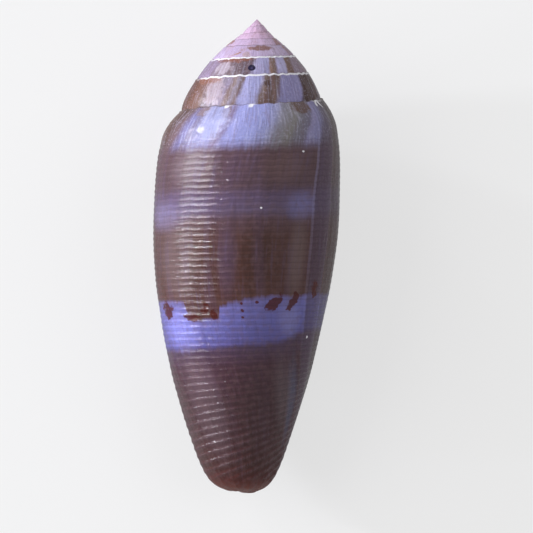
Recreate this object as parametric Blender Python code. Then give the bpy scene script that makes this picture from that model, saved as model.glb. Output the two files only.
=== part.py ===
"""A cone shell lying on its opening, grown as one piece.

Millimetres below, metres in the scene. The shell's own axis starts along Y with the apex
toward +Y, the back of the shell up, and the opening underneath toward -X. The body is a wall that
was laid down turn after turn, so every surface here is a function of the turn it grew in.
"""

import math

import bmesh
import bpy
import numpy as np

# Sizes of the shell
LENGTH = 45.0
RIM_DROP = 44.80
FIRST_TURN = -6.9
LIP_AZIMUTH = 132.0
LEFT_TURN = -0.137

# The seam between the turns: turn before the lip, distance below the apex, radius
SUTURE = (
    (-7.12, 0.26, 0.26),
    (-6.12, 0.76, 0.76),
    (-5.12, 1.44, 1.36),
    (-4.12, 2.04, 2.14),
    (-3.12, 2.72, 2.98),
    (-2.12, 4.01, 4.22),
    (-1.12, 5.89, 5.60),
    (-0.12, 8.97, 6.98),
    (0.88, 12.06, 8.80),
    (1.15, 12.87, 9.17),
)

# The side of the last turn at the left outline: share of the way from seam to rim, radius
SIDE = (
    (0.086, 8.80),
    (0.130, 9.06),
    (0.183, 9.20),
    (0.236, 9.25),
    (0.289, 9.28),
    (0.342, 9.24),
    (0.448, 8.93),
    (0.554, 8.28),
    (0.659, 7.42),
    (0.764, 6.20),
    (0.869, 4.76),
    (0.940, 3.65),
    (0.974, 2.86),
    (0.990, 2.35),
    (1.000, 1.78),
)

# How much wider one more turn is, along the same share
WIDENING = ((0.0, 1.25), (0.30, 1.26), (0.48, 1.34), (0.66, 1.43), (1.0, 1.45))

# How the lip's edge runs: distance below the apex, degrees ahead of its upper corner
LIP_LEAD = ((10.0, 0.0), (13.0, 3.0), (17.0, 7.0), (24.0, 8.0), (31.5, 2.0), (36.5, -9.0), (45.0, -22.0))

# Steepness of a turn's upper slope at its two ends, against the straight line between them
SLOPE_START = ((-2.3, 1.15), (-1.15, 1.50), (-0.5, 1.95))
SLOPE_END = ((-2.3, 0.90), (-1.15, 0.80), (-0.5, 0.56))

# The wall and the hollow behind the opening
LIP_THICKNESS = 0.30
WALL_THICKNESS = 0.85
SUTURE_THICKNESS = 0.38
RIM_THICKNESS = 0.48
LEAST_GAP = 0.15
HOLLOW_TURNS = 26 / 48
LIP_FLARE = 0.30
PILLAR_WAIST = 0.30
BELLY = 0.34
BELLY_TURN = -0.832
BELLY_SPREAD = 0.045

# How it lies, in degrees: roll about its own axis, then the lift of the apex end
ROLL = -0.97
PITCH = 5.33

# Depth rubbed flat where it rests
WORN_FLAT = 0.16

# Facets
STEPS_PER_TURN = 48
UPPER_COLUMNS = 4
SIDE_COLUMNS = 24
CAP_RINGS = 2


def smooth_through(points, at):
    """A smooth curve through points that never overshoots them."""
    table = np.array(points, float)
    x, y = table[:, 0], table[:, 1]
    step = np.diff(x)
    rise = np.diff(y) / step
    slope = np.zeros(len(x))
    slope[0], slope[-1] = rise[0], rise[-1]
    for k in range(1, len(x) - 1):
        if rise[k - 1] * rise[k] > 0:
            before = 2 * step[k] + step[k - 1]
            after = step[k] + 2 * step[k - 1]
            slope[k] = (before + after) / (before / rise[k - 1] + after / rise[k])
    at = np.clip(np.asarray(at, float), x[0], x[-1])
    k = np.clip(np.searchsorted(x, at, side="right") - 1, 0, len(x) - 2)
    h = step[k]
    f = (at - x[k]) / h
    return (
        (2 * f**3 - 3 * f**2 + 1) * y[k]
        + (f**3 - 2 * f**2 + f) * h * slope[k]
        + (3 * f**2 - 2 * f**3) * y[k + 1]
        + (f**3 - f**2) * h * slope[k + 1]
    )


def ease(value, start, end):
    """0 before start, 1 after end, smooth between."""
    f = np.clip((value - start) / (end - start), 0.0, 1.0)
    return f * f * (3 - 2 * f)


def seam(turn):
    """Drop and radius of the seam above a turn."""
    drops = [(t, drop) for t, drop, _ in SUTURE]
    radii = [(t, radius) for t, _, radius in SUTURE]
    return smooth_through(drops, turn), smooth_through(radii, turn)


def grown_radius(turn, drop):
    """Radius of the side of a turn, before it is fitted to its seams."""
    top, _ = seam(turn)
    share = (drop - top) / (RIM_DROP - top)
    left = smooth_through(SIDE, share)
    widening = smooth_through(WIDENING, share)
    radius = left * widening ** (turn - LEFT_TURN)
    waist = PILLAR_WAIST * ease(drop, 35.0, 43.5) * ease(-turn, 0.68, 1.0)
    flare = LIP_FLARE * ease(drop, 11.0, 15.0) * (0.55 + ease(drop, 30.0, 42.0)) * ease(turn, -0.13, 0.0)
    belly = BELLY * math.exp(-(((turn - BELLY_TURN) / BELLY_SPREAD) ** 2))
    belly *= ease(drop, 12.0, 16.5) * (1 - ease(drop, 27.0, 37.0))
    return radius * (1 - waist) + flare + belly


def side_radius(turn, drop):
    """Radius of the side of a turn, meeting the next turn's seam at its upper end."""
    low_drop, low_radius = seam(turn + 1)
    error = low_radius - grown_radius(turn, low_drop)
    return grown_radius(turn, drop) + error * (1 - ease(drop, low_drop, low_drop + 7.0))


def upper_point(turn, share):
    """Drop and radius on the upper slope of a turn, between its own seam and the next."""
    high_drop, high_radius = seam(turn)
    low_drop, low_radius = seam(turn + 1)
    run = low_drop - high_drop
    straight = (low_radius - high_radius) / run
    start = straight * smooth_through(SLOPE_START, turn)
    end = straight * smooth_through(SLOPE_END, turn)
    side_end = (side_radius(turn, low_drop + 0.2) - low_radius) / 0.2
    end = end + (side_end - end) * ease(turn, -1.3, -1.0)
    radius = (
        (2 * share**3 - 3 * share**2 + 1) * high_radius
        + (share**3 - 2 * share**2 + share) * run * start
        + (3 * share**2 - 2 * share**3) * low_radius
        + (share**3 - share**2) * run * end
    )
    return high_drop + run * share, radius


def side_share(column):
    """Places the columns of the side closer together near the seam and at the rim."""
    return math.sin(0.5 * math.pi * column / SIDE_COLUMNS) ** 1.35


def wall_point(turn, column):
    """Drop and radius of the outer face at a column, counted from the seam."""
    if column <= UPPER_COLUMNS:
        drop, radius = upper_point(turn, column / UPPER_COLUMNS)
        return float(drop), float(radius)
    low_drop, _ = seam(turn + 1)
    drop = low_drop + (RIM_DROP - low_drop) * side_share(column - UPPER_COLUMNS)
    return float(drop), float(side_radius(turn, drop))


def wall_thickness(turn, column):
    """Thin at the lip, thin under the seam, thick in the body."""
    body = WALL_THICKNESS + (RIM_THICKNESS - WALL_THICKNESS) * column_ease(column, 0.62, 1.0)
    body = SUTURE_THICKNESS + (body - SUTURE_THICKNESS) * column_ease(column, 0.0, 0.2)
    return LIP_THICKNESS + (body - LIP_THICKNESS) * float(ease(-turn, 0.0, 0.12))


def column_ease(column, start, end):
    return float(ease(column / (UPPER_COLUMNS + SIDE_COLUMNS), start, end))


def inner_point(turn, column):
    """The inside of the wall, at its thickness behind the outer face."""
    last = UPPER_COLUMNS + SIDE_COLUMNS
    before = wall_point(turn, max(column - 1, 0))
    after = wall_point(turn, min(column + 1, last))
    along = np.subtract(after, before)
    along /= np.hypot(*along)
    drop, radius = wall_point(turn, column)
    thickness = wall_thickness(turn, column)
    drop += thickness * along[1]
    radius -= thickness * along[0]
    low_drop, _ = seam(turn)
    inside = side_radius(turn - 1, max(drop, low_drop))
    return drop, max(radius, float(inside) + LEAST_GAP)


def place(turn, drop, radius):
    """A point of the shell in space."""
    azimuth = math.radians(360.0 * turn + LIP_AZIMUTH + float(smooth_through(LIP_LEAD, drop)))
    return (
        -radius * math.sin(azimuth),
        0.5 * LENGTH - drop,
        radius * math.cos(azimuth),
    )


def zip_strip(first, second):
    """Triangles between two rows of points that start and end together."""
    faces = []
    a = b = 0
    while a < len(first) - 1 or b < len(second) - 1:
        ahead = (a + 1) / max(len(first) - 1, 1) <= (b + 1) / max(len(second) - 1, 1)
        if b == len(second) - 1 or (ahead and a < len(first) - 1):
            faces.append((first[a], first[a + 1], second[b]))
            a += 1
        else:
            faces.append((first[a], second[b + 1], second[b]))
            b += 1
    return [face for face in faces if len(set(face)) == 3]


def shell_mesh():
    """Vertices in millimetres and faces of the whole shell."""
    turn_steps = STEPS_PER_TURN
    lip = round(-FIRST_TURN * turn_steps)
    back = lip - turn_steps
    upper = UPPER_COLUMNS
    rim = UPPER_COLUMNS + SIDE_COLUMNS
    deep = lip - round(HOLLOW_TURNS * turn_steps)
    vertices = []
    faces = []

    def add(turn, point):
        vertices.append(place(turn, *point))
        return len(vertices) - 1

    # Outside of the wall: a turn's lower edge is the next turn's seam
    outer = {}
    for row in range(lip + 1):
        turn = (row - lip) / turn_steps
        for column in range(rim + 1 if row >= back else upper):
            if row <= back and column == upper:
                continue
            outer[row, column] = add(turn, wall_point(turn, column))
    for row in range(back + 1):
        outer[row, upper] = outer[row + turn_steps, 0]
    for row in range(lip):
        for column in range(rim if row >= back else upper):
            faces.append(
                (
                    outer[row, column],
                    outer[row, column + 1],
                    outer[row + 1, column + 1],
                    outer[row + 1, column],
                )
            )

    # The hollow: the last turn's inside face, and the turn before it as the other side
    inner = {}
    parietal = {}
    for row in range(deep, lip + 1):
        turn = (row - lip) / turn_steps
        for column in range(1, SIDE_COLUMNS + 1):
            if row == lip:
                parietal[row, column] = outer[back, upper + column]
            else:
                parietal[row, column] = add(turn, wall_point(turn - 1, upper + column))
        inner[row, 0] = parietal[row, 1]
        for column in range(1, rim + 1):
            inner[row, column] = add(turn, inner_point(turn, column))
    for row in range(deep, lip):
        for column in range(rim):
            faces.append(
                (
                    inner[row, column],
                    inner[row + 1, column],
                    inner[row + 1, column + 1],
                    inner[row, column + 1],
                )
            )
        for column in range(1, SIDE_COLUMNS):
            faces.append(
                (
                    parietal[row, column],
                    parietal[row, column + 1],
                    parietal[row + 1, column + 1],
                    parietal[row + 1, column],
                )
            )

    # Edge of the lip, and the end of the hollow
    for column in range(rim):
        faces.append(
            (
                outer[lip, column],
                outer[lip, column + 1],
                inner[lip, column + 1],
                inner[lip, column],
            )
        )
    wall_side = [inner[deep, column] for column in range(rim + 1)]
    pillar_side = [parietal[deep, column] for column in range(1, SIDE_COLUMNS + 1)]
    faces += zip_strip(wall_side, pillar_side)
    end_edge = (wall_side[-1], pillar_side[-1])

    # Rim of the narrow end, open between the wall and the pillar
    for row in range(deep, lip):
        faces.append(
            (
                outer[row, rim],
                outer[row + 1, rim],
                inner[row + 1, rim],
                inner[row, rim],
            )
        )
    loop = [outer[row, rim] for row in range(back, deep + 1)]
    loop += list(end_edge)
    loop += [parietal[row, SIDE_COLUMNS] for row in range(deep + 1, lip)]
    centre = (0.0, 0.5 * LENGTH - LENGTH, 0.0)
    ring = loop
    for number in range(1, CAP_RINGS + 1):
        share = number / (CAP_RINGS + 1)
        inward = []
        for corner in loop:
            x, y, z = vertices[corner]
            drop = y + (centre[1] - y) * math.sin(0.5 * math.pi * share)
            vertices.append((x * (1 - share), drop, z * (1 - share)))
            inward.append(len(vertices) - 1)
        for k in range(len(loop)):
            after = (k + 1) % len(loop)
            faces.append((ring[k], ring[after], inward[after], inward[k]))
        ring = inward
    vertices.append(centre)
    for k in range(len(ring)):
        faces.append((ring[k], ring[(k + 1) % len(ring)], len(vertices) - 1))

    # Apex
    start = [outer[row, 0] for row in range(turn_steps)]
    start += [outer[0, column] for column in range(upper, 0, -1)]
    vertices.append((0.0, 0.5 * LENGTH, 0.0))
    for k in range(len(start)):
        faces.append((start[k], start[(k + 1) % len(start)], len(vertices) - 1))
    return np.array(vertices), faces


def laid_down(vertices):
    """Turns the shell to how it rests and puts its lowest point on the ground, centred."""
    roll = math.radians(ROLL)
    pitch = math.radians(PITCH)
    about_axis = np.array(
        (
            (math.cos(roll), 0, math.sin(roll)),
            (0, 1, 0),
            (-math.sin(roll), 0, math.cos(roll)),
        )
    )
    apex_up = np.array(
        (
            (1, 0, 0),
            (0, math.cos(pitch), -math.sin(pitch)),
            (0, math.sin(pitch), math.cos(pitch)),
        )
    )
    turned = vertices @ about_axis.T @ apex_up.T
    turned[:, 2] = np.maximum(turned[:, 2], turned[:, 2].min() + WORN_FLAT)
    low, high = turned.min(axis=0), turned.max(axis=0)
    return turned - np.array((0.5 * (low[0] + high[0]), 0.5 * (low[1] + high[1]), low[2]))


def shell_material():
    """Glossy brown and violet shell."""
    material = bpy.data.materials.new("polished_shell")
    material.use_nodes = True
    surface = material.node_tree.nodes["Principled BSDF"]
    surface.inputs["Base Color"].default_value = (0.115, 0.070, 0.095, 1.0)
    surface.inputs["Roughness"].default_value = 0.25
    surface.inputs["IOR"].default_value = 1.53
    return material


def build_shell():
    vertices, faces = shell_mesh()
    points = laid_down(vertices) * 0.001
    mesh = bpy.data.meshes.new("shell")
    mesh.from_pydata(points.tolist(), [], faces)
    shaped = bmesh.new()
    shaped.from_mesh(mesh)
    bmesh.ops.recalc_face_normals(shaped, faces=shaped.faces)
    shaped.to_mesh(mesh)
    shaped.free()
    mesh.shade_smooth()
    mesh.set_sharp_from_angle(angle=math.radians(50))
    shell = bpy.data.objects.new("shell", mesh)
    shell.data.materials.append(shell_material())
    bpy.context.scene.collection.objects.link(shell)
    return shell


for old in list(bpy.data.objects):
    bpy.data.objects.remove(old, do_unlink=True)
build_shell()
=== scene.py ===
import math

import bmesh
import bpy
import numpy as np
from mathutils import Matrix


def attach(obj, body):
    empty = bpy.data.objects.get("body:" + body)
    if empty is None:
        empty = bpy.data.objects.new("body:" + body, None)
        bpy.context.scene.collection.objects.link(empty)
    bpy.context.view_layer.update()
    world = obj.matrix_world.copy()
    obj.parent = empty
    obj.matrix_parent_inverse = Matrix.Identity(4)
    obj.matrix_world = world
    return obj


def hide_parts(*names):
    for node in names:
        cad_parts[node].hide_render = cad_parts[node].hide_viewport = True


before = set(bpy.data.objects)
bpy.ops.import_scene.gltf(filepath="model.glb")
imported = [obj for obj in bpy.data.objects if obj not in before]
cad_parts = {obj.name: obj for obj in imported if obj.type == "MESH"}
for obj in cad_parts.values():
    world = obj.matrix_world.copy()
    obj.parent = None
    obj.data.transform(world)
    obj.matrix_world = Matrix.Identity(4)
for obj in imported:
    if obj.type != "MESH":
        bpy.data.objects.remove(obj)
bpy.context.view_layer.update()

# The shell is one piece of aragonite, laid down by the animal at its lip turn after turn and
# glossy as glazed china. Its outside is one sheet that winds round the axis: rows are steps of
# growth, columns run down a turn from its seam to the rim at the narrow end.

# Sizes in mm and angles in degrees. Turns count back from the lip, which is 0, a drop is the
# distance below the apex along the axis, and a share is a part of the way from seam to rim.
SHELL_LENGTH = 45.0
RIM_DROP = 44.80
FIRST_TURN = -6.9
LIP_AZIMUTH = 132.0
LEFT_TURN = -0.137
ROLL = -0.97
PITCH = 5.33
AXIS_MIDDLE = np.array((0.502, 0.0, 7.381))
FAR_FROM_SEAM = 9.0
ROWS_PER_TURN = 184
SIDE_COLUMNS = 330

# Seam between the turns: turn, drop and radius
SEAM = (
    (-7.12, 0.26, 0.26),
    (-6.12, 0.76, 0.76),
    (-5.12, 1.44, 1.36),
    (-4.12, 2.04, 2.14),
    (-3.12, 2.72, 2.98),
    (-2.12, 4.01, 4.22),
    (-1.12, 5.89, 5.60),
    (-0.12, 8.97, 6.98),
    (0.88, 12.06, 8.80),
    (1.15, 12.87, 9.17),
)
# Side of the last turn at the left outline: share and radius
SIDE = (
    (0.086, 8.80),
    (0.130, 9.06),
    (0.183, 9.20),
    (0.236, 9.25),
    (0.289, 9.28),
    (0.342, 9.24),
    (0.448, 8.93),
    (0.554, 8.28),
    (0.659, 7.42),
    (0.764, 6.20),
    (0.869, 4.76),
    (0.940, 3.65),
    (0.974, 2.86),
    (0.990, 2.12),
    (1.000, 1.16),
)
# How many times wider the side grows in one turn, by share
WIDENING = ((0.0, 1.25), (0.30, 1.26), (0.48, 1.34), (0.66, 1.43), (1.0, 1.45))
# How far the lip stands ahead round the axis, by drop
LIP_LEAD = ((10.0, 0.0), (13.0, 3.0), (17.0, 7.0), (24.0, 8.0), (31.5, 2.0), (36.5, -9.0), (45.0, -22.0))
# Steepness of the upper slope at its two ends, against a straight one, by turn
SLOPE_START = ((-2.3, 1.15), (-1.15, 1.50), (-0.5, 1.95))
SLOPE_END = ((-2.3, 0.90), (-1.15, 0.80), (-0.5, 0.56))
# The lip flares out, the pillar behind it narrows, and the hidden side is a little fuller
LIP_FLARE = 0.30
PILLAR_WAIST = 0.30
BELLY = 0.34
BELLY_TURN = -0.832
BELLY_SPREAD = 0.045

# Columns of the upper slope crowd at the seams, where the raised rim is
UPPER = np.array((0.0, 0.02, 0.045, 0.08, 0.14, 0.24, 0.38, 0.52, 0.66, 0.79, 0.90, 0.965, 1.0))


def curve_between(part, start, start_rise, end, end_rise):
    """A smooth curve from one value to another, with its rise at both ends."""
    return (
        (2 * part**3 - 3 * part**2 + 1) * start
        + (part**3 - 2 * part**2 + part) * start_rise
        + (3 * part**2 - 2 * part**3) * end
        + (part**3 - part**2) * end_rise
    )


def smooth_through(points, at):
    """A smooth curve through points that never overshoots them."""
    table = np.array(points, float)
    x, y = table[:, 0], table[:, 1]
    step = np.diff(x)
    rise = np.diff(y) / step
    slope = np.zeros(len(x))
    slope[0], slope[-1] = rise[0], rise[-1]
    for k in range(1, len(x) - 1):
        if rise[k - 1] * rise[k] > 0:
            before = 2 * step[k] + step[k - 1]
            after = step[k] + 2 * step[k - 1]
            slope[k] = (before + after) / (before / rise[k - 1] + after / rise[k])
    at = np.clip(np.asarray(at, float), x[0], x[-1])
    k = np.clip(np.searchsorted(x, at, side="right") - 1, 0, len(x) - 2)
    width = step[k]
    part = (at - x[k]) / width
    return curve_between(part, y[k], width * slope[k], y[k + 1], width * slope[k + 1])


def ease(value, start, end):
    """0 before start, 1 after end, smooth between."""
    part = np.clip((value - start) / (end - start), 0.0, 1.0)
    return part * part * (3 - 2 * part)


def bump(value, middle, spread):
    """1 in the middle, falling away softly on both sides."""
    return np.exp(-(((value - middle) / spread) ** 2))


def seam(turn):
    """Drop and radius of the seam, which wavers a little as real ones do."""
    turn = np.asarray(turn, float)
    waver = np.sin(2 * math.pi * 27 * turn + 3 * np.sin(13 * turn))
    waver = waver + 0.7 * np.sin(2 * math.pi * 41 * turn + 1.0)
    waver = 0.038 * waver * ease(turn, -4.0, -1.0) * ease(-turn, 0.0, 0.05)
    return (
        smooth_through([(t, drop) for t, drop, _ in SEAM], turn) + waver,
        smooth_through([(t, radius) for t, _, radius in SEAM], turn),
    )


def grown_radius(turn, drop):
    """Radius of the side of a turn, before it is fitted to its seams."""
    top, _ = seam(turn)
    share = (drop - top) / (RIM_DROP - top)
    radius = smooth_through(SIDE, share) * smooth_through(WIDENING, share) ** (turn - LEFT_TURN)
    waist = PILLAR_WAIST * ease(drop, 35.0, 43.5) * ease(-turn, 0.68, 1.0)
    flare = LIP_FLARE * ease(drop, 11.0, 15.0) * (0.55 + ease(drop, 30.0, 42.0))
    flare = flare * ease(turn, -0.13, 0.0)
    belly = BELLY * bump(turn, BELLY_TURN, BELLY_SPREAD)
    belly = belly * ease(drop, 12.0, 16.5) * (1 - ease(drop, 27.0, 37.0))
    return radius * (1 - waist) + flare + belly


def side_radius(turn, drop):
    """Radius of the side of a turn, meeting the next turn's seam at its upper end."""
    low_drop, low_radius = seam(turn + 1)
    error = low_radius - grown_radius(turn, low_drop)
    return grown_radius(turn, drop) + error * (1 - ease(drop, low_drop, low_drop + 7.0))


def upper_slope(turn, share):
    """Drop and radius on the slope between a turn's own seam and the next."""
    high_drop, high_radius = seam(turn)
    low_drop, low_radius = seam(turn + 1)
    run = low_drop - high_drop
    straight = (low_radius - high_radius) / run
    start = straight * smooth_through(SLOPE_START, turn)
    end = straight * smooth_through(SLOPE_END, turn)
    side_end = (side_radius(turn, low_drop + 0.2) - low_radius) / 0.2
    end = end + (side_end - end) * ease(turn, -1.3, -1.0)
    radius = curve_between(share, high_radius, run * start, low_radius, run * end)
    return high_drop + run * share, radius


def place(turn, drop, radius):
    """Points in space, in mm: round the axis, then laid down as the shell rests."""
    azimuth = np.radians(360.0 * turn + LIP_AZIMUTH + smooth_through(LIP_LEAD, drop))
    roll, pitch = math.radians(ROLL), math.radians(PITCH)
    x = -radius * np.sin(azimuth)
    y = 0.5 * SHELL_LENGTH - drop
    z = radius * np.cos(azimuth)
    x, z = x * math.cos(roll) + z * math.sin(roll), z * math.cos(roll) - x * math.sin(roll)
    y, z = y * math.cos(pitch) - z * math.sin(pitch), y * math.sin(pitch) + z * math.cos(pitch)
    placed = np.stack(np.broadcast_arrays(x, y, z), axis=-1) + AXIS_MIDDLE
    # The belly and the lip are worn flat where the shell rests
    placed[..., 2] = np.maximum(placed[..., 2], 0.0)
    return placed


# Relief: raised cords 0.57 mm apart round the side, growth rests, the scar of an old lip, a
# beaded rim under each seam, and a small round pit on the spire
CORD_FIRST_SHARE = 0.083
CORD_PITCH_SHARE = 0.0156
CORD_HEIGHT = 0.045
CORD_SLANT = 0.42
SCAR_TURN = -0.533
PIT_TURN, PIT_DROP = -2.357, 4.78
PIT_RADIUS, PIT_DEPTH = 0.33, 0.10


def cord_wave(turn, share):
    """1 on top of each raised cord, 0 in the groove between two; they slant near the narrow end."""
    along = share + CORD_SLANT * ease(share, 0.55, 0.93) * (turn**2 - 0.09)
    count = (along - CORD_FIRST_SHARE) / CORD_PITCH_SHARE - 26.0 * np.maximum(along - 0.65, 0.0) ** 2
    return (0.5 + 0.5 * np.cos(2 * math.pi * (count - 0.5))) ** 1.4


def relief(turn, share, from_seam, to_seam):
    """Height of the surface detail in mm."""
    size = np.clip(1.0 + 0.22 * (turn + 0.3), 0.25, 1.0)
    cord = CORD_HEIGHT * (1 + 0.55 * ease(share, 0.68, 0.9)) * ease(share, 0.078, 0.10)
    cord = cord * (1 - ease(share, 0.955, 0.985))
    cord = cord * (0.45 + 0.55 * ease(turn, SCAR_TURN - 0.01, SCAR_TURN + 0.02))
    cord = cord * (0.85 + 0.25 * np.sin(23.0 * turn + 40.0 * share) * np.sin(71.0 * turn - 15.0 * share))
    rests = 0.010 * np.sin(2 * math.pi * 37 * turn + 3 * np.sin(9 * turn)) * ease(share, 0.0, 0.05)
    rests = rests + 0.012 * np.sin(2 * math.pi * 11.3 * turn + 1.0)
    scar = 0.050 * bump(turn, SCAR_TURN + 0.030, 0.0065)
    scar = scar + 0.022 * bump(turn, SCAR_TURN - 0.004, 0.0060)
    scar = scar + 0.045 * ease(turn, SCAR_TURN - 0.034, SCAR_TURN - 0.022)
    scar = scar * ease(share, 0.0, 0.05)
    beads = 0.75 + 0.25 * np.sin(2 * math.pi * 62 * turn + 2 * np.sin(11 * turn))
    rim = 0.070 * bump(from_seam, 0.17, 0.10) * beads
    groove = -0.095 * bump(from_seam, 0.0, 0.07) - 0.095 * bump(to_seam, 0.0, 0.10)
    return (cord * cord_wave(turn, share) + rests + scar + (rim + groove) * size) * ease(-turn, 0.0, 0.01)


def with_relief(turn, drop, radius, height):
    """Moves each point out along the wall's own normal."""
    down = np.gradient(drop, axis=1)
    out = np.gradient(radius, axis=1)
    length = np.hypot(down, out)
    return place(turn, drop - height * out / length, radius + height * down / length)


points = []


def keep_points(grid):
    """Adds a grid of points and gives back their numbers."""
    first = sum(map(len, points))
    points.append(grid.reshape(-1, 3))
    return np.arange(first, first + len(points[-1])).reshape(grid.shape[:-1])


def seam_distances(turn, drop, radius):
    """Distance in mm down the slope from the seam above, and up from the seam below."""
    high_drop, high_radius = seam(turn)
    low_drop, low_radius = seam(turn + 1)
    return (
        np.hypot(drop - high_drop, radius - high_radius),
        np.hypot(drop - low_drop, radius - low_radius),
    )


# The last turn, all the way down to the rim at the narrow end
lip_row = round(-FIRST_TURN * ROWS_PER_TURN)
first_row = lip_row - ROWS_PER_TURN
last = len(UPPER) - 1
turn = (np.arange(first_row, lip_row + 1) - lip_row)[:, None] / ROWS_PER_TURN
upper_drop, upper_radius = upper_slope(turn, UPPER[None, :])
low_drop, _ = seam(turn + 1)
side_drop = low_drop + (RIM_DROP - low_drop) * (np.arange(1, SIDE_COLUMNS + 1) / SIDE_COLUMNS)[None, :]
drop = np.concatenate([upper_drop, side_drop], axis=1)
radius = np.concatenate([upper_radius, side_radius(turn, side_drop)], axis=1)
top_drop, _ = seam(turn)
share = (drop - top_drop) / (RIM_DROP - top_drop)
from_seam, to_seam = seam_distances(turn, drop, radius)
to_seam = to_seam + FAR_FROM_SEAM * ease(turn, -1.0, -0.995)
body_grid = with_relief(turn, drop, radius, relief(turn, share, from_seam, to_seam))
body = keep_points(body_grid)
# The seam's lower end is the upper corner of the lip
body[0, last] = body[-1, 0]
body_fields = {
    "turn": np.broadcast_to(turn, drop.shape),
    "share": share,
    "from_seam": from_seam,
}

# The spire: each turn ends at the seam of the one after it
turn = (np.arange(0, first_row + 1) - lip_row)[:, None] / ROWS_PER_TURN
drop, radius = upper_slope(turn, UPPER[None, :])
top_drop, _ = seam(turn)
share = (drop - top_drop) / (RIM_DROP - top_drop)
from_seam, to_seam = seam_distances(turn, drop, radius)
above_pit, below_pit = seam(PIT_TURN)[0], seam(PIT_TURN + 1)[0]
_, pit_radius = upper_slope(PIT_TURN, (PIT_DROP - above_pit) / (below_pit - above_pit))
pit_place = place(PIT_TURN, PIT_DROP, pit_radius)
pit_distance = np.linalg.norm(place(turn, drop, radius) - pit_place, axis=-1)
sunk = 1 - ease(pit_distance, 0.45 * PIT_RADIUS, PIT_RADIUS)
height = relief(turn, share, from_seam, to_seam) - PIT_DEPTH * sunk
spire_grid = with_relief(turn, drop, radius, height)
spire = np.zeros(drop.shape, int)
spire[:-1, :last] = keep_points(spire_grid[:-1, :last])
spire[-1] = body[0, : last + 1]
for row in range(first_row):
    below = row + ROWS_PER_TURN
    spire[row, last] = spire[below, 0] if below < first_row else body[below - first_row, 0]
spire_fields = {
    "turn": np.broadcast_to(turn, drop.shape),
    "share": share,
    "from_seam": from_seam,
}

corner_fields = {name: [] for name in body_fields}
faces = []
face_finish = []
OUTSIDE, INSIDE = 0, 1


def keep_faces(numbers, fields, finish):
    """Four-cornered faces between the rows and columns of a grid, with its fields at the corners."""
    quads = np.stack([numbers[:-1, :-1], numbers[:-1, 1:], numbers[1:, 1:], numbers[1:, :-1]], axis=-1)
    faces.extend(quads.reshape(-1, 4).tolist())
    face_finish.extend([finish] * (quads.size // 4))
    for name in corner_fields:
        value = np.broadcast_to(fields[name], numbers.shape)
        at = np.stack([value[:-1, :-1], value[:-1, 1:], value[1:, 1:], value[1:, :-1]], axis=-1)
        corner_fields[name].append(at.reshape(-1))


def keep_loose(new_faces, value, finish):
    """Faces with one set of field values all over."""
    for face in new_faces:
        faces.append([int(number) for number in face])
        face_finish.append(finish)
        for name in corner_fields:
            corner_fields[name].append(np.full(len(face), value[name]))


def zip_strip(first, second):
    """Triangles between two rows of points that start and end side by side."""
    made = []
    a = b = 0
    while a < len(first) - 1 or b < len(second) - 1:
        ahead = (a + 1) / max(len(first) - 1, 1) <= (b + 1) / max(len(second) - 1, 1)
        if b == len(second) - 1 or (ahead and a < len(first) - 1):
            made.append((first[a], first[a + 1], second[b]))
            a += 1
        else:
            made.append((first[a], second[b + 1], second[b]))
            b += 1
    return [face for face in made if len(set(face)) == 3]


keep_faces(spire, spire_fields, OUTSIDE)
keep_faces(body, body_fields, OUTSIDE)

# The hollow behind the opening: the wall's inside, and the turn before it as the other side.
# It is the same growth, thin and sharp at the lip, thicker and glazed further in.
LIP_THICKNESS = 0.30
WALL_THICKNESS = 0.85
SEAM_THICKNESS = 0.38
RIM_THICKNESS = 0.48
LEAST_GAP = 0.15
HOLLOW_TURNS = 26 / 48
CEILING_DROP = 0.93
INNER_COLUMNS = 52

deep_row = lip_row - round(HOLLOW_TURNS * ROWS_PER_TURN)
turn = (np.arange(deep_row, lip_row + 1) - lip_row)[:, None] / ROWS_PER_TURN
top_drop, _ = seam(turn)
down_share = np.sin(np.linspace(0.0, 0.5 * math.pi, INNER_COLUMNS + 1))[None, :]
pillar_drop = top_drop + CEILING_DROP + (RIM_DROP - top_drop - CEILING_DROP) * down_share
pillar_grid = place(turn, pillar_drop, side_radius(turn - 1, pillar_drop))
pillar = keep_points(pillar_grid[:-1])

slope_drop, slope_radius = upper_slope(turn, np.array((0.25, 0.5, 0.75, 1.0))[None, :])
low_drop, _ = seam(turn + 1)
wall_drop = np.concatenate([slope_drop, low_drop + (RIM_DROP - low_drop) * down_share[:, 1:]], axis=1)
wall_radius = np.concatenate([slope_radius, side_radius(turn, wall_drop[:, 4:])], axis=1)
down = np.gradient(wall_drop, axis=1)
out = np.gradient(wall_radius, axis=1)
length = np.hypot(down, out)
thickness = WALL_THICKNESS + (RIM_THICKNESS - WALL_THICKNESS) * ease(wall_drop, 28.0, 43.0)
thickness = SEAM_THICKNESS + (thickness - SEAM_THICKNESS) * ease(wall_drop - top_drop, 0.0, 5.0)
thickness = LIP_THICKNESS + (thickness - LIP_THICKNESS) * ease(-turn, 0.0, 0.12)
inner_drop = wall_drop + thickness * out / length
inner_radius = wall_radius - thickness * down / length
inner_radius = np.maximum(inner_radius, side_radius(turn - 1, np.maximum(inner_drop, top_drop)) + LEAST_GAP)
inner = np.zeros((len(turn), wall_drop.shape[1] + 1), int)
inner[:, 1:] = keep_points(place(turn, inner_drop, inner_radius))
inner[:-1, 0] = pillar[:, 0]
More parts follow.
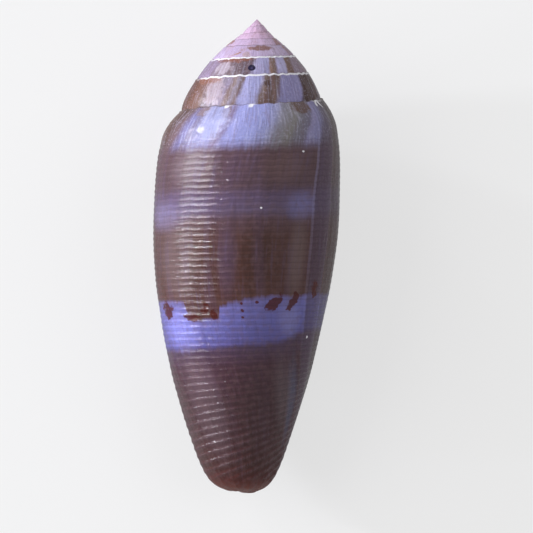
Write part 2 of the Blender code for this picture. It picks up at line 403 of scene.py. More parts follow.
# At the lip the pillar's side is the outside of the turn before
ceiling_column = int(np.argmin(np.abs(body_grid[0, :, 1] - pillar_grid[-1, 0, 1])))
inner[-1, 0] = body[0, ceiling_column]
for wall, wall_turn in ((inner, turn), (pillar, turn[:-1])):
    wall_share = np.linspace(0.03, 1.0, wall.shape[1])[None, :]
    keep_faces(wall, {"turn": wall_turn, "share": wall_share, "from_seam": FAR_FROM_SEAM}, INSIDE)
at_lip = {"turn": 0.0, "share": 0.5, "from_seam": FAR_FROM_SEAM}
deep = {"turn": -HOLLOW_TURNS, "share": 0.5, "from_seam": FAR_FROM_SEAM}
keep_loose(zip_strip(body[0, ceiling_column:].tolist(), pillar[-1].tolist()), at_lip, INSIDE)
keep_loose(zip_strip(inner[0].tolist(), pillar[0].tolist()), deep, INSIDE)

# Lip edge: a rounded bead between the outside and the inside
bead_drop = wall_drop[-1:] + 0.5 * LIP_THICKNESS * out[-1:] / length[-1:]
bead_radius = wall_radius[-1:] - 0.5 * LIP_THICKNESS * down[-1:] / length[-1:]
bead_turn = 0.11 / (2 * math.pi * np.maximum(bead_radius, 1.0))
bead = [body[-1, 0]] + keep_points(place(bead_turn, bead_drop, bead_radius))[0].tolist()
inner_edge = body[0, last : ceiling_column + 1].tolist() + inner[-1, 1:].tolist()
keep_loose(zip_strip(body[-1].tolist(), bead), at_lip, INSIDE)
keep_loose(zip_strip(bead, inner_edge), at_lip, INSIDE)
keep_loose([(body[-1, -1], bead[-1], inner[-1, -1])], at_lip, INSIDE)

# Rim and the pillar's end at the narrow tip
at_rim = {"turn": -0.2, "share": 0.995, "from_seam": FAR_FROM_SEAM}
rim_outer = body[deep_row - first_row :, -1].tolist()
rim_inner = inner[:, -1].tolist()
keep_loose(zip(rim_outer[:-1], rim_outer[1:], rim_inner[1:], rim_inner[:-1]), at_rim, OUTSIDE)
ring = body[: deep_row - first_row + 1, -1].tolist() + [inner[0, -1]] + pillar[:, -1].tolist()
outline = np.concatenate(points)[ring]
axis_end = place(0.0, RIM_DROP, 0.0)
tip = place(0.0, SHELL_LENGTH, 0.0)
for number in range(1, 6):
    angle = 0.5 * math.pi * number / 6
    drawn_in = axis_end + (outline - axis_end) * math.cos(angle) + (tip - axis_end) * math.sin(angle)
    inward = keep_points(drawn_in).tolist()
    keep_loose(zip(ring, ring[1:] + ring[:1], inward[1:] + inward[:1], inward), at_rim, OUTSIDE)
    ring = inward
centre = int(keep_points(tip[None, :])[0])
keep_loose(zip(ring, ring[1:] + ring[:1], [centre] * len(ring)), at_rim, OUTSIDE)

# Apex
at_apex = {"turn": FIRST_TURN, "share": 0.0, "from_seam": 1.0}
ring = spire[:ROWS_PER_TURN, 0].tolist() + spire[0, last:0:-1].tolist()
centre = int(keep_points(place(0.0, 0.0, 0.0)[None, :])[0])
keep_loose(zip(ring, ring[1:] + ring[:1], [centre] * len(ring)), at_apex, OUTSIDE)

shell_mesh = bpy.data.meshes.new("shell_wall")
every_point = np.concatenate(points)
# The relief stays above the floor
every_point[:, 2] = np.maximum(every_point[:, 2], 0.003)
shell_mesh.from_pydata((every_point * 0.001).tolist(), [], faces)
shell_mesh.polygons.foreach_set("material_index", face_finish)
values = {name: np.concatenate(parts) for name, parts in corner_fields.items()}
growth = shell_mesh.uv_layers.new(name="growth")
growth.data.foreach_set("uv", np.stack([values["turn"], values["share"]], axis=1).ravel())
shell_mesh.attributes.new("from_seam", "FLOAT", "CORNER").data.foreach_set("value", values["from_seam"])

# Where the light band begins and ends: turn, share of its upper edge with the steps that growth
# rests left in it, share of its lower edge
BAND_TOP = (
    (-1.00, 0.505),
    (-0.62, 0.496),
    (-0.44, 0.496),
    (-0.41, 0.502),
    (-0.38, 0.503),
    (-0.375, 0.512),
    (-0.347, 0.513),
    (-0.343, 0.520),
    (-0.331, 0.521),
    (-0.327, 0.557),
    (-0.292, 0.556),
    (-0.288, 0.561),
    (-0.262, 0.561),
    (-0.257, 0.514),
    (-0.232, 0.511),
    (-0.10, 0.508),
    (0.00, 0.500),
)
BAND_END = (
    (-1.00, 0.600),
    (-0.56, 0.582),
    (-0.49, 0.590),
    (-0.45, 0.612),
    (-0.34, 0.624),
    (-0.21, 0.634),
    (0.00, 0.640),
)
# Where the light band lies in the run of colours further down
BAND_FROM, BAND_TO = 0.508, 0.638
top_edge = np.interp(values["turn"], *np.transpose(BAND_TOP))
end_edge = np.interp(values["turn"], *np.transpose(BAND_END))
grown_share = values["share"]
above_band = grown_share + BAND_FROM - top_edge
in_band = BAND_FROM + (BAND_TO - BAND_FROM) * (grown_share - top_edge) / (end_edge - top_edge)
below_band = BAND_TO + (1.0 - BAND_TO) * (grown_share - end_edge) / (1.0 - end_edge)
banded = np.where(grown_share < top_edge, above_band, in_band)
banded = np.where(grown_share > end_edge, below_band, banded)
banded = grown_share + (banded - grown_share) * ease(grown_share, 0.36, 0.46)
shell_mesh.attributes.new("banded", "FLOAT", "CORNER").data.foreach_set("value", banded)

shaped = bmesh.new()
shaped.from_mesh(shell_mesh)
bmesh.ops.delete(shaped, geom=[point for point in shaped.verts if not point.link_faces], context="VERTS")
bmesh.ops.recalc_face_normals(shaped, faces=shaped.faces)
shaped.to_mesh(shell_mesh)
shaped.free()
shell_mesh.shade_smooth()
shell = bpy.data.objects.new("shell_wall", shell_mesh)
bpy.context.scene.collection.objects.link(shell)


def linear(colour):
    """An sRGB hex colour as linear red, green, blue."""
    parts = [int(colour[k : k + 2], 16) / 255 for k in (1, 3, 5)]
    return tuple(p / 12.92 if p <= 0.04045 else ((p + 0.055) / 1.055) ** 2.4 for p in parts) + (1.0,)


# Outside of the shell: glossy aragonite, stained violet and brown in the outermost layer. All
# its markings follow the growth: bands run round, streaks and flames run down along old lips.
aragonite = bpy.data.materials.new("stained_aragonite")
aragonite.use_nodes = True
aragonite.node_tree.nodes.clear()
# The setting that takes the mode of each kind of node
MODE_OF = {
    "Math": "operation",
    "VectorMath": "operation",
    "MapRange": "interpolation_type",
    "Mix": "data_type",
}


def add(kind, *inputs, named=None, material=aragonite, **settings):
    """Adds one node and gives the first output it uses; a second word in its kind is its mode."""
    kind, _, mode = kind.partition(" ")
    made = material.node_tree.nodes.new("ShaderNode" + kind)
    if mode:
        settings[MODE_OF[kind]] = mode
    for name, value in settings.items():
        setattr(made, name, value)
    given = list(zip([socket for socket in made.inputs if socket.enabled], inputs))
    given += [(made.inputs[name], value) for name, value in (named or {}).items()]
    for socket, value in given:
        if isinstance(value, bpy.types.NodeSocket):
            material.node_tree.links.new(value, socket)
        else:
            socket.default_value = linear(value) if isinstance(value, str) else value
    return next((socket for socket in made.outputs if socket.enabled), None)


# A turn is about 53 mm round, and the side from seam to rim 36 mm long
MM_PER_TURN, MM_PER_SHARE = 53.4, 36.5
grown = add("UVMap", uv_map="growth")
turn_at, share_at, _ = add("SeparateXYZ", grown).node.outputs
spot = add("TexCoord").node.outputs["Object"]
from_seam_at = add("Attribute", attribute_name="from_seam").node.outputs["Fac"]
banded_at = add("Attribute", attribute_name="banded").node.outputs["Fac"]


def stretched(per_turn, per_share):
    """Noise on the growth sheet with this many cells in a turn and in the length of the side."""
    scaled = add("VectorMath MULTIPLY", grown, (per_turn, per_share, 0.0))
    return add("TexNoise", scaled, 1.0, 4.0)


def ramp(value, low, high, stops, material=aragonite):
    """A run of colours over a range of a value."""
    spread = add("Math MULTIPLY_ADD", value, 1.0 / (high - low), -low / (high - low), material=material)
    run = add("ValToRGB", spread, material=material)
    elements = run.node.color_ramp.elements
    while len(elements) < len(stops):
        elements.new(0.5)
    for element, (position, colour) in zip(elements, stops):
        element.position = (position - low) / (high - low)
        element.color = linear(colour)
    return run


def reach_from(sheet, middle, half_sizes, angle=0.0):
    """How far out from the middle of an oval on the growth sheet; 1 on its edge."""
    turned = (0.0, 0.0, math.radians(angle))
    near = add("Mapping", sheet, (*middle, 0.0), turned, (*half_sizes, 1.0), vector_type="TEXTURE")
    return add("VectorMath LENGTH", near)


# Cells in mm, round by down: clouds 3.3 by 3.7, streaks 0.36 by 4, zones 1.2 by 12, hairs 0.23
# by 2.3, threads 0.28 by 0.6. Real growth lines are under 0.1 mm apart: hairs are drawn coarser.
clouds = stretched(16.0, 10.0)
streaks = stretched(150.0, 9.0)
zones = stretched(46.0, 3.0)
hairs = stretched(230.0, 16.0)
threads = stretched(190.0, 62.0)
# Grain 0.5 mm and specks 0.2 mm across
grain = add("TexNoise", spot, 1900.0, 3.0)
specks = add("TexNoise", spot, 4300.0, 2.0)

# The same cords as in the mesh, for their sharp crests and the stain between them
slant = add("Math MULTIPLY_ADD", turn_at, turn_at, -0.09)
slant = add(
    "Math MULTIPLY", add("MapRange SMOOTHSTEP", share_at, 0.55, 0.93, 0.0, CORD_SLANT), slant
)
along = add("Math ADD", share_at, slant)
past = add("Math MAXIMUM", add("Math SUBTRACT", along, 0.65), 0.0)
count = add(
    "Math MULTIPLY_ADD", along, 1.0 / CORD_PITCH_SHARE, -CORD_FIRST_SHARE / CORD_PITCH_SHARE - 0.5
)
count = add("Math MULTIPLY_ADD", add("Math MULTIPLY", past, past), -26.0, count)
cord = add(
    "Math MULTIPLY_ADD", add("Math COSINE", add("Math MULTIPLY", count, 2 * math.pi)), 0.5, 0.5
)
on_side = add(
    "Math MULTIPLY",
    add("MapRange SMOOTHSTEP", share_at, 0.080, 0.092),
    add("MapRange SMOOTHSTEP", share_at, 0.985, 0.955),
)
cord = add("Math MULTIPLY", cord, on_side)

# Brown and violet bands round the last turn
band_place = add("Math MULTIPLY_ADD", clouds, 0.020, banded_at)
band_place = add("Math MULTIPLY_ADD", streaks, 0.014, band_place)
band_place = add("Math SUBTRACT", band_place, 0.017)
colour = ramp(
    band_place,
    0.0,
    1.0,
    (
        (0.060, "#8C84AE"),
        (0.082, "#6C5A68"),
        (0.110, "#5E464E"),
        (0.165, "#5A4248"),
        (0.212, "#5A444E"),
        (0.236, "#604E68"),
        (0.275, "#62526B"),
        (0.300, "#5A4148"),
        (0.345, "#533631"),
        (0.430, "#50312B"),
        (0.500, "#553530"),
        (0.511, "#706AA8"),
        (0.540, "#6C69AC"),
        (0.585, "#6663A6"),
        (0.628, "#605A9A"),
        (0.644, "#503C54"),
        (0.690, "#4A2E39"),
        (0.780, "#452B30"),
        (0.880, "#46282A"),
        (0.935, "#452421"),
        (0.968, "#4E201B"),
        (1.000, "#70301F"),
    ),
)
# Soft tints, some of them painted sheen and one painted shade, as marked: turn, share, half sizes in turns
# and share, colour, strength
TINTS_AND_SHEEN = (
    (-0.350, 0.400, 0.020, 0.110, "#625070", 0.40),
    (-0.478, 0.400, 0.022, 0.120, "#746060", 0.62),
    # Partly the light band's own blue, partly painted sheen on its left end
    (-0.225, 0.580, 0.055, 0.060, "#9090E4", 0.75),
    (-0.470, 0.555, 0.030, 0.050, "#8C8AC6", 0.55),
    (-0.480, 0.266, 0.036, 0.042, "#7E7AB0", 0.55),
    (-0.215, 0.286, 0.060, 0.044, "#8A80A8", 0.55),
    (-0.330, 0.098, 0.090, 0.022, "#77648C", 0.60),
    (-0.405, 0.390, 0.028, 0.110, "#3A211B", 0.45),
    (-0.483, 0.760, 0.020, 0.125, "#5A5E78", 0.55),
    (-0.250, 0.700, 0.050, 0.060, "#6A5060", 0.40),
    (-0.360, 0.160, 0.030, 0.060, "#66506A", 0.30),
    (-0.440, 0.165, 0.045, 0.050, "#72585A", 0.60),
    # Painted shade: darker along the far right edge of the dark band, away from the lamps
    (-0.610, 0.780, 0.060, 0.160, "#301F2C", 0.60),
    (-0.450, 0.740, 0.032, 0.110, "#66585E", 0.50),
    # Painted sheen: these three lighten the left side where the lamps' sheen falls
    (-0.245, 0.400, 0.055, 0.120, "#7C6A6C", 0.50),
    (-0.265, 0.160, 0.055, 0.050, "#84747E", 0.45),
    (-0.235, 0.780, 0.060, 0.160, "#6E5A62", 0.45),
)
for at_turn, at_share, half_turn, half_share, tint, strength in TINTS_AND_SHEEN:
    reach = reach_from(grown, (at_turn, at_share), (half_turn, half_share))
    reach = add("Math MULTIPLY_ADD", streaks, 0.6, reach)
    colour = add(
        "Mix RGBA", add("MapRange SMOOTHSTEP", reach, 1.5, 0.6, 0.0, strength), colour, tint
    )

# Streaks down the side where growth rested
higher = add("MapRange SMOOTHSTEP", share_at, 0.68, 0.52, 0.30, 1.0)
colour = add(
    "Mix RGBA",
    add("Math MULTIPLY", higher, add("MapRange SMOOTHSTEP", zones, 0.48, 0.66, 0.0, 0.12)),
    colour,
    "#6A5A84",
)
colour = add(
    "Mix RGBA", add("MapRange SMOOTHSTEP", zones, 0.48, 0.32, 0.0, 0.14), colour, "#362220"
)
colour = add(
    "Mix RGBA",
    add("Math MULTIPLY", higher, add("MapRange SMOOTHSTEP", streaks, 0.52, 0.70, 0.0, 0.14)),
    colour,
    "#70648E",
)
colour = add(
    "Mix RGBA", add("MapRange SMOOTHSTEP", streaks, 0.47, 0.30, 0.0, 0.18), colour, "#301C1B"
)
colour = add(
    "Mix RGBA", add("MapRange SMOOTHSTEP", grain, 0.42, 0.66, 0.0, 0.22), colour, "#6E5456"
)

# Flames on the shoulder and the spire: turn and colour, one run for each turn in sight
shoulder = ramp(
    add("Math MULTIPLY_ADD", clouds, 0.030, add("Math MULTIPLY_ADD", share_at, -0.29, turn_at)),
    -0.66,
    -0.08,
    (
        (-0.640, "#6A5458"),
        (-0.575, "#4E3C3E"),
        (-0.530, "#625A6E"),
        (-0.512, "#8482AE"),
        (-0.492, "#8E88B0"),
        (-0.484, "#706A80"),
        (-0.462, "#7A7682"),
        (-0.448, "#84807E"),
        (-0.420, "#8C8A9C"),
        (-0.395, "#9698C8"),
        (-0.370, "#9A9ED8"),
        (-0.330, "#9A9CD4"),
        (-0.318, "#86789A"),
        (-0.306, "#9C9AC8"),
        (-0.290, "#8080B2"),
        (-0.262, "#78749E"),
        (-0.252, "#7C7694"),
        (-0.240, "#7A78A8"),
        (-0.232, "#7672A0"),
        (-0.212, "#6E585E"),
        (-0.180, "#523830"),
        (-0.110, "#7A5E54"),
    ),
)
spire_slant = add("Math MULTIPLY_ADD", share_at, -0.30, turn_at)
spire_slant = add("Math MULTIPLY_ADD", clouds, 0.036, spire_slant)
spire_slant = add("Math MULTIPLY_ADD", threads, 0.012, spire_slant)
spire_slant = add("Math SUBTRACT", spire_slant, 0.012)
third_turn = ramp(
    spire_slant,
    -1.70,
    -1.08,
    (
        (-1.640, "#7E7488"),
        (-1.590, "#58464A"),
        (-1.570, "#462E2A"),
        (-1.505, "#46302E"),
        (-1.495, "#8E88B6"),
        (-1.440, "#918CBC"),
        (-1.428, "#725C56"),
        (-1.400, "#6A524E"),
        (-1.385, "#7A665E"),
        (-1.374, "#A2A2D2"),
        (-1.338, "#A6A4D2"),
        (-1.330, "#6E5650"),
        (-1.318, "#8E8496"),
        (-1.306, "#7A6258"),
        (-1.292, "#867890"),
        (-1.250, "#6A5C62"),
        (-1.232, "#7C6058"),
        (-1.200, "#6E4A3A"),
        (-1.160, "#5E3A2C"),
        (-1.120, "#64423A"),
    ),
)
fourth_turn = ramp(
    spire_slant,
    -2.70,
    -2.08,
    (
        (-2.640, "#86747E"),
        (-2.560, "#8A7682"),
        (-2.504, "#907E90"),
        (-2.496, "#74584E"),
        (-2.478, "#7C6054"),
        (-2.470, "#B0AAD0"),
        (-2.440, "#AEA6CE"),
        (-2.430, "#7E6458"),
        (-2.412, "#8A6E62"),
        (-2.404, "#A6A2CE"),
        (-2.366, "#A8A2CA"),
        (-2.350, "#62505A"),
        (-2.300, "#6A585E"),
        (-2.240, "#7A6874"),
        (-2.222, "#8C7A94"),
        (-2.120, "#907E9A"),
    ),
)
# Patches about 1.6 mm across on the turns and sides that have no flames of their own
scatter = add("TexNoise", spot, 620.0, 4.0, named={"Distortion": 0.6})
patches = ramp(
    scatter,
    0.30,
    0.75,
    (
        (0.36, "#C4B0D0"),
        (0.52, "#BAA6CA"),
        (0.62, "#B89EB8"),
        (0.65, "#A67A5E"),
        (0.72, "#8A5C48"),
    ),
)
early = add(
    "Mix RGBA", add("MapRange SMOOTHSTEP", turn_at, -3.6, -5.2, 0.0, 0.85), patches, "#D6B2D0"
)
hidden = add(
    "Mix RGBA", add("MapRange SMOOTHSTEP", turn_at, -2.9, -1.9, 0.0, 0.45), early, "#8E84AE"
)
flames = add("Mix RGBA", add("MapRange SMOOTHSTEP", turn_at, -2.66, -2.60), hidden, fourth_turn)
flames = add("Mix RGBA", add("MapRange SMOOTHSTEP", turn_at, -2.12, -2.06), flames, hidden)
flames = add("Mix RGBA", add("MapRange SMOOTHSTEP", turn_at, -1.66, -1.60), flames, third_turn)
flames = add("Mix RGBA", add("MapRange SMOOTHSTEP", turn_at, -1.12, -1.06), flames, hidden)
flames = add("Mix RGBA", add("MapRange SMOOTHSTEP", turn_at, -0.66, -0.60), flames, shoulder)
flames = add("Mix RGBA", add("MapRange SMOOTHSTEP", turn_at, -0.12, -0.06), flames, hidden)
# Brown stains on the spire and the shoulder, and pale patches that are painted highlights on the left of
# the turns, given like the tints
STAINS_AND_GLINTS = (
    (-3.395, 0.0085, 0.062, 0.0055, "#7E5440", 0.85),
    (-3.330, 0.022, 0.018, 0.006, "#A88A7E", 0.60),
    (-4.165, 0.008, 0.040, 0.006, "#96604A", 0.80),
    (-4.528, 0.012, 0.030, 0.020, "#96604C", 0.75),
    (-3.560, 0.012, 0.030, 0.016, "#8E6C74", 0.60),
    (-2.292, 0.005, 0.070, 0.009, "#875442", 0.85),
    # Painted highlight on the left of the fourth turn
    (-2.265, 0.026, 0.030, 0.014, "#C6B8C6", 0.60),
    (-1.401, 0.024, 0.011, 0.008, "#452E2C", 0.65),
    # Painted highlight on the left of the third turn
    (-1.262, 0.036, 0.026, 0.040, "#BCAAB4", 0.60),
    (-1.225, 0.010, 0.040, 0.010, "#8E5A44", 0.60),
    (-0.476, 0.014, 0.022, 0.020, "#5E4236", 0.80),
    (-0.255, 0.014, 0.016, 0.014, "#8E7262", 0.60),
    (-0.312, 0.016, 0.010, 0.022, "#7A5C50", 0.60),
    # Painted highlight on the shoulder
    (-0.290, 0.045, 0.028, 0.045, "#B4B8E2", 0.55),
)
for at_turn, at_share, half_turn, half_share, mark_colour, strength in STAINS_AND_GLINTS:
    reach = reach_from(grown, (at_turn, at_share), (half_turn, half_share))
    reach = add("Math MULTIPLY_ADD", add("Math SUBTRACT", grain, 0.5), 1.6, reach)
    flames = add(
        "Mix RGBA", add("MapRange SMOOTHSTEP", reach, 1.25, 0.75, 0.0, strength), flames, mark_colour
    )
flames = add(
    "Mix RGBA", add("MapRange SMOOTHSTEP", specks, 0.55, 0.70, 0.0, 0.24), flames, "#74564C"
)
flames = add(
    "Mix RGBA", add("MapRange SMOOTHSTEP", specks, 0.45, 0.32, 0.0, 0.20), flames, "#D2CCE8"
)
flames = add(
    "Mix RGBA", add("MapRange SMOOTHSTEP", hairs, 0.50, 0.68, 0.0, 0.30), flames, "#7C6470"
)
flames = add(
    "Mix RGBA", add("MapRange SMOOTHSTEP", hairs, 0.48, 0.32, 0.0, 0.20), flames, "#D6D2F0"
)
shoulder_edge = add("Math MULTIPLY_ADD", streaks, 0.022, share_at)
shoulder_edge = add("Math MULTIPLY_ADD", zones, 0.016, shoulder_edge)
colour = add("Mix RGBA", add("MapRange SMOOTHSTEP", shoulder_edge, 0.1080, 0.1480), flames, colour)

# Dark red-brown blotches: turn, share, half sizes in mm, turned by degrees
BLOTCHES = (
    (-0.200, 0.530, 0.85, 0.95, 0.0),
    (-0.268, 0.548, 1.00, 0.34, 0.0),
    (-0.302, 0.528, 0.50, 0.46, 20.0),
    (-0.318, 0.540, 0.55, 0.40, -30.0),
    (-0.373, 0.513, 0.17, 0.17, 0.0),
    (-0.373, 0.531, 0.17, 0.17, 0.0),
    (-0.373, 0.549, 0.16, 0.16, 0.0),
    (-0.402, 0.509, 0.19, 0.17, 0.0),
    (-0.434, 0.515, 1.05, 0.44, 42.0),
    (-0.441, 0.505, 0.55, 0.42, 0.0),
    (-0.476, 0.509, 0.95, 0.46, 48.0),
    (-0.482, 0.500, 0.45, 0.38, 0.0),
    (-0.530, 0.478, 0.40, 0.72, 0.0),
    (-0.660, 0.505, 0.80, 0.36, 20.0),
    (-0.715, 0.535, 0.45, 0.45, 0.0),
    (-0.800, 0.515, 0.90, 0.34, -20.0),
    (-0.870, 0.530, 0.60, 0.40, 0.0),
    (-0.060, 0.520, 0.90, 0.40, 10.0),
)
sheet_in_mm = add("VectorMath MULTIPLY", grown, (MM_PER_TURN, MM_PER_SHARE, 0.0))


def marks(shapes, soft):
    """1 inside any of the shapes on the growth sheet, with uneven edges."""
    nearest = None
    for at_turn, at_share, half_across, half_down, angle in shapes:
        middle = (at_turn * MM_PER_TURN, at_share * MM_PER_SHARE)
        reach = reach_from(sheet_in_mm, middle, (half_across, half_down), angle)
        nearest = reach if nearest is None else add("Math MINIMUM", nearest, reach)
    ragged = add("Math MULTIPLY_ADD", add("Math SUBTRACT", grain, 0.5), 2.8, nearest)
    return add("MapRange SMOOTHSTEP", ragged, 1.0 + soft, 1.0 - soft)


# The scar of an old lip: a purple strip with a pale line on its ridge, a painted highlight, and smoother
# browner shell behind it, painted darker there as shade
scar_place = add("Math MULTIPLY_ADD", clouds, 0.006, turn_at)
scar = add(
    "Math MULTIPLY",
    add("MapRange SMOOTHSTEP", scar_place, SCAR_TURN - 0.022, SCAR_TURN - 0.016),
    add("MapRange SMOOTHSTEP", scar_place, SCAR_TURN + 0.030, SCAR_TURN + 0.024),
)
scar = add("Math MULTIPLY", scar, add("MapRange SMOOTHSTEP", share_at, 0.90, 0.60, 0.35, 1.0))
scar = add("Math MULTIPLY", scar, add("MapRange SMOOTHSTEP", share_at, 0.04, 0.14, 0.3, 1.0))
colour = add("Mix RGBA", add("Math MULTIPLY", scar, 0.60), colour, "#4A3850")
from_ridge = add("Math ABSOLUTE", add("Math SUBTRACT", scar_place, SCAR_TURN + 0.030))
ridge_highlight = add("MapRange SMOOTHSTEP", from_ridge, 0.0045, 0.0015)
# Painted highlight: a pale line along the scar's ridge
colour = add(
    "Mix RGBA",
    add("Math MULTIPLY", ridge_highlight, add("MapRange SMOOTHSTEP", share_at, 0.75, 0.05, 0.02, 0.24)),
    colour,
    "#9A94C4",
)
# Behind the scar the shell is browner, and painted darker as shade on the side away from the lamps
behind = add(
    "Math MULTIPLY",
    add("MapRange SMOOTHSTEP", turn_at, SCAR_TURN - 0.020, SCAR_TURN - 0.030),
    add("MapRange SMOOTHSTEP", turn_at, -1.0, -0.9),
)
colour = add("Mix RGBA", add("Math MULTIPLY", behind, 0.55), colour, "#3A2628")

colour = add("Mix RGBA", add("Math MULTIPLY", marks(BLOTCHES, 0.20), 0.92), colour, "#4C150F")

# Grooves between the cords are painted darker, as shade
colour = add(
    "Mix RGBA",
    add("Math MULTIPLY", add("MapRange SMOOTHSTEP", cord, 0.30, 0.0, 0.0, 0.18), on_side),
    colour,
    "#22151A",
)

# Towards the narrow end the tops of the cords are worn a little paler
worn = add(
    "Math MULTIPLY",
    add("MapRange SMOOTHSTEP", cord, 0.50, 0.95),
    add("MapRange SMOOTHSTEP", share_at, 0.72, 0.86, 0.0, 0.16),
)
worn = add("Math MULTIPLY", worn, add("MapRange SMOOTHSTEP", streaks, 0.40, 0.60, 0.3, 1.2))
colour = add(
    "Mix RGBA",
    add("Math MULTIPLY", worn, add("MapRange SMOOTHSTEP", share_at, 0.985, 0.94)),
    colour,
    "#75636F",
)

# White on the rims under the seams, partly chalky wear and partly a painted highlight, kept to the side of
# each turn that faces up; and white chips, a few on the side
rim_chalk_and_glint = ramp(
    turn_at,
    -2.75,
    0.0,
    (
        (-2.660, "#303030"),
        (-2.580, "#FFFFFF"),
        (-2.200, "#FFFFFF"),
        (-2.120, "#202020"),
        (-1.660, "#202020"),
        (-1.580, "#E8E8E8"),
        (-1.500, "#FFFFFF"),
        (-1.220, "#FFFFFF"),
        (-1.150, "#303030"),
        (-0.600, "#303030"),
        (-0.532, "#E0E0E0"),
        (-0.518, "#303030"),
        (-0.376, "#383838"),
        (-0.368, "#FFFFFF"),
        (-0.360, "#383838"),
        (-0.322, "#383838"),
        (-0.314, "#FFFFFF"),
        (-0.306, "#404040"),
        (-0.050, "#202020"),
    ),
)
crimped = add("Math MULTIPLY_ADD", threads, 0.16, from_seam_at)
rim_chalk_and_glint_mask = add(
    "Math MULTIPLY",
    add("MapRange SMOOTHSTEP", crimped, 0.40, 0.32),
    add("MapRange SMOOTHSTEP", crimped, 0.10, 0.16),
)
rim_chalk_and_glint_mask = add("Math MULTIPLY", rim_chalk_and_glint_mask, rim_chalk_and_glint)
dark_seam = add("MapRange SMOOTHSTEP", from_seam_at, 0.30, 0.05, 0.0, 0.75)
colour = add(
    "Mix RGBA",
    add("Math MULTIPLY", dark_seam, add("MapRange SMOOTHSTEP", turn_at, -4.2, -2.4, 0.35, 1.0)),
    colour,
    "#5A3A2E",
)
last_seam = add(
    "Math MULTIPLY",
    add("MapRange SMOOTHSTEP", from_seam_at, 0.22, 0.08),
    add("MapRange SMOOTHSTEP", turn_at, -1.1, -0.9, 0.0, 0.85),
)
colour = add("Mix RGBA", last_seam, colour, "#44291F")
colour = add("Mix RGBA", add("Math MULTIPLY", rim_chalk_and_glint_mask, 0.95), colour, "#F2F0F8")
# White chips, those on the last seam partly painted glints: turn, share, half sizes in mm, turned by
# degrees
CHIPS_AND_GLINTS = (
    (-0.307, 0.004, 0.30, 0.16, 0.0),
    (-0.364, 0.006, 0.42, 0.20, 25.0),
    (-0.536, 0.006, 0.50, 0.16, 40.0),
    (-0.548, 0.012, 0.40, 0.14, -40.0),
    (-0.470, 0.128, 0.12, 0.10, 0.0),
    (-0.405, 0.270, 0.12, 0.10, 0.0),
    (-0.522, 0.602, 0.16, 0.13, 30.0),
)
colour = add("Mix RGBA", add("Math MULTIPLY", marks(CHIPS_AND_GLINTS, 0.3), 0.95), colour, "#F4F2F8")

# The small round pit, dark with a paler middle; distances in metres
to_pit = add("VectorMath DISTANCE", spot, tuple(pit_place * 0.001))
pit_reach = add("Math MULTIPLY_ADD", grain, 0.00004, to_pit)
in_pit = add("MapRange SMOOTHSTEP", pit_reach, 0.00041, 0.00036)
colour = add("Mix RGBA", in_pit, colour, "#221B38")
colour = add(
    "Mix RGBA", add("MapRange SMOOTHSTEP", pit_reach, 0.00020, 0.00012, 0.0, 0.7), colour, "#4A4270"
)

# Lowest relief, 0.05 mm at most: fine threads along the growth, 0.13 mm apart, the cords' sharp
# crests with growth hairs across them, and a sugary sparkle on the spire, 0.2 mm across
grit = add("TexNoise", spot, 5200.0, 2.0)
fine_threads = stretched(420.0, 40.0)
low_relief = add("Math MULTIPLY_ADD", fine_threads, 1.2, add("Math MULTIPLY", threads, 1.7))
crest = add("Math POWER", cord, 3.0)
low_relief = add(
    "Math MULTIPLY_ADD", crest, add("Math MULTIPLY_ADD", hairs, 3.0, -0.70), low_relief
)
low_relief = add(
    "Math MULTIPLY_ADD",
    hairs,
    add("MapRange SMOOTHSTEP", share_at, 0.11, 0.08, 0.85, 1.2),
    low_relief,
)
low_relief = add(
    "Math MULTIPLY_ADD",
    grit,
    add("MapRange SMOOTHSTEP", share_at, 0.10, 0.07, 0.10, 0.55),
    low_relief,
)
fine = add("Bump", named={"Height": low_relief, "Strength": 0.55, "Distance": 0.00005})
# Smooth as glaze, dulled where growth hairs cross
roughness = add(
    "Math MULTIPLY_ADD",
    add("MapRange SMOOTHSTEP", hairs, 0.47, 0.53),
    0.12,
    add("MapRange SMOOTHSTEP", clouds, 0.3, 0.7, 0.03, 0.06),
)
finish = {"Base Color": colour, "Roughness": roughness, "IOR": 1.55, "Normal": fine}
add("OutputMaterial", add("BsdfPrincipled", named=finish))
shell_mesh.materials.append(aragonite)

# Inside: smooth porcelain glaze, violet-white, browner at the lip's edge
glazed = bpy.data.materials.new("porcelain_glaze")
glazed.use_nodes = True
glazed.node_tree.nodes.clear()
grown_inside = add("UVMap", material=glazed, uv_map="growth")
across = add("VectorMath MULTIPLY", grown_inside, (30.0, 7.0, 0.0), material=glazed)
milk = add("TexNoise", across, 1.0, 3.0, material=glazed)
inside_turn = add("SeparateXYZ", grown_inside, material=glazed)
inward = add("Math MULTIPLY_ADD", milk, 0.03, inside_turn, material=glazed)
glaze_colour = ramp(
    inward,
    -0.200,
    0.016,
    (
        (-0.200, "#CFC6DC"),
        (-0.081, "#B9ACD2"),
        (-0.027, "#9486B4"),
        (0.001, "#6E5A70"),
        (0.016, "#5C443E"),
    ),
    glazed,
)
finish = {"Base Color": glaze_colour, "Roughness": 0.16, "IOR": 1.55}
add("OutputMaterial", add("BsdfPrincipled", material=glazed, named=finish), material=glazed)
shell_mesh.materials.append(glazed)

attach(shell, "root")
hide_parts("shell")

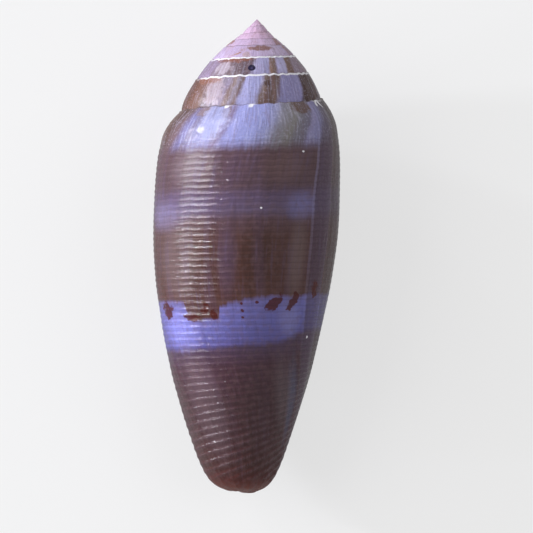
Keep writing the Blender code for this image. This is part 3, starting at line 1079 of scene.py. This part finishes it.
# Floor: a pale board of opal acrylic, lit weakly from below. The gloss of the shell doesn't
# mirror it, so that the shell's outline stays dark.
floor_mesh = bpy.data.meshes.new("floor")
floor_mesh.from_pydata([(-1.5, -1.5, 0), (1.5, -1.5, 0), (1.5, 1.5, 0), (-1.5, 1.5, 0)], [], [(0, 1, 2, 3)])
floor = bpy.data.objects.new("floor", floor_mesh)
bpy.context.scene.collection.objects.link(floor)
board = bpy.data.materials.new("opal_board")
board.use_nodes = True
acrylic = board.node_tree.nodes["Principled BSDF"]
acrylic.inputs["Base Color"].default_value = linear("#8A8A8A")
acrylic.inputs["Roughness"].default_value = 0.9
acrylic.inputs["Emission Color"].default_value = linear("#FFFFFF")
acrylic.inputs["Emission Strength"].default_value = 0.64
floor_mesh.materials.append(board)
floor.visible_glossy = False

# Camera: looks down, square to the shell's own axis, which leans a little in the picture
PIXELS_PER_MM = 10.533
PICTURE_PIXELS = 533
AIM_RIGHT_PIXELS, AIM_UP_PIXELS = 15.6, -10.5
LEAN = 1.49
SENSOR_WIDTH = 36.0
CAMERA_DISTANCE = 0.55
pitch = math.radians(PITCH)
lean = math.radians(LEAN)
along_axis = np.array((0.0, math.cos(pitch), math.sin(pitch)))
toward_camera = np.array((0.0, -math.sin(pitch), math.cos(pitch)))
sideways = np.array((1.0, 0.0, 0.0))
camera_up = along_axis * math.cos(lean) - sideways * math.sin(lean)
camera_right = sideways * math.cos(lean) + along_axis * math.sin(lean)
aside = camera_right * AIM_RIGHT_PIXELS + camera_up * AIM_UP_PIXELS
target = 0.001 * (AXIS_MIDDLE + aside / PIXELS_PER_MM)
camera_data = bpy.data.cameras.new("camera")
camera_data.sensor_width = SENSOR_WIDTH
camera_data.lens = SENSOR_WIDTH * CAMERA_DISTANCE / (0.001 * PICTURE_PIXELS / PIXELS_PER_MM)
camera = bpy.data.objects.new("camera", camera_data)
bpy.context.scene.collection.objects.link(camera)
matrix = np.eye(4)
matrix[:3, :3] = np.stack([camera_right, camera_up, toward_camera], axis=1)
matrix[:3, 3] = target + toward_camera * CAMERA_DISTANCE
camera.matrix_world = Matrix(matrix.tolist())
bpy.context.scene.camera = camera


# Lights: two soft windows give the shading, and small lamps low on the left draw the bright
# dashes on the cords. The windows are kept out of the gloss, which they would turn milky.
def window(name, azimuth, height, distance, size, power, colour):
    """A rectangular light facing the shell; height is its angle above the floor."""
    light_data = bpy.data.lights.new(name, "AREA")
    light_data.shape = "RECTANGLE"
    light_data.size, light_data.size_y = size
    light_data.energy = power
    light_data.color = linear(colour)[:3]
    light = bpy.data.objects.new(name, light_data)
    bpy.context.scene.collection.objects.link(light)
    a, h = math.radians(azimuth), math.radians(height)
    forward = np.array((math.cos(h) * math.cos(a), math.cos(h) * math.sin(a), math.sin(h)))
    across_it = np.cross((0.0, 0.0, 1.0), forward)
    across_it /= np.linalg.norm(across_it)
    matrix = np.eye(4)
    matrix[:3, :3] = np.stack([across_it, np.cross(forward, across_it), forward], axis=1)
    matrix[:3, 3] = forward * distance + target
    light.matrix_world = Matrix(matrix.tolist())
    return light


window("window_left", 170.0, 38.0, 0.5, (0.50, 0.34), 1.25, "#FFFFFF").visible_glossy = False
window("bare_lamp", 168.0, 17.0, 0.5, (0.016, 0.06), 1.25, "#F4F6FF")
window("window_bar", 150.0, 12.0, 0.5, (0.016, 0.06), 0.90, "#F4F6FF")
window("lamp_beside", 130.0, 15.0, 0.5, (0.06, 0.05), 0.20, "#F4F6FF")
window("lamp_tip", 191.0, 8.0, 0.5, (0.016, 0.06), 0.60, "#F4F6FF")
window("fill_right", 10.0, 50.0, 0.9, (0.7, 0.5), 1.5, "#FFFFFF").visible_glossy = False
world = bpy.data.worlds.new("soft_sky")
world.use_nodes = True
world.node_tree.nodes["Background"].inputs["Color"].default_value = linear("#F2F2F4")
world.node_tree.nodes["Background"].inputs["Strength"].default_value = 0.33
bpy.context.scene.world = world
bpy.context.scene.view_settings.view_transform = "Standard"
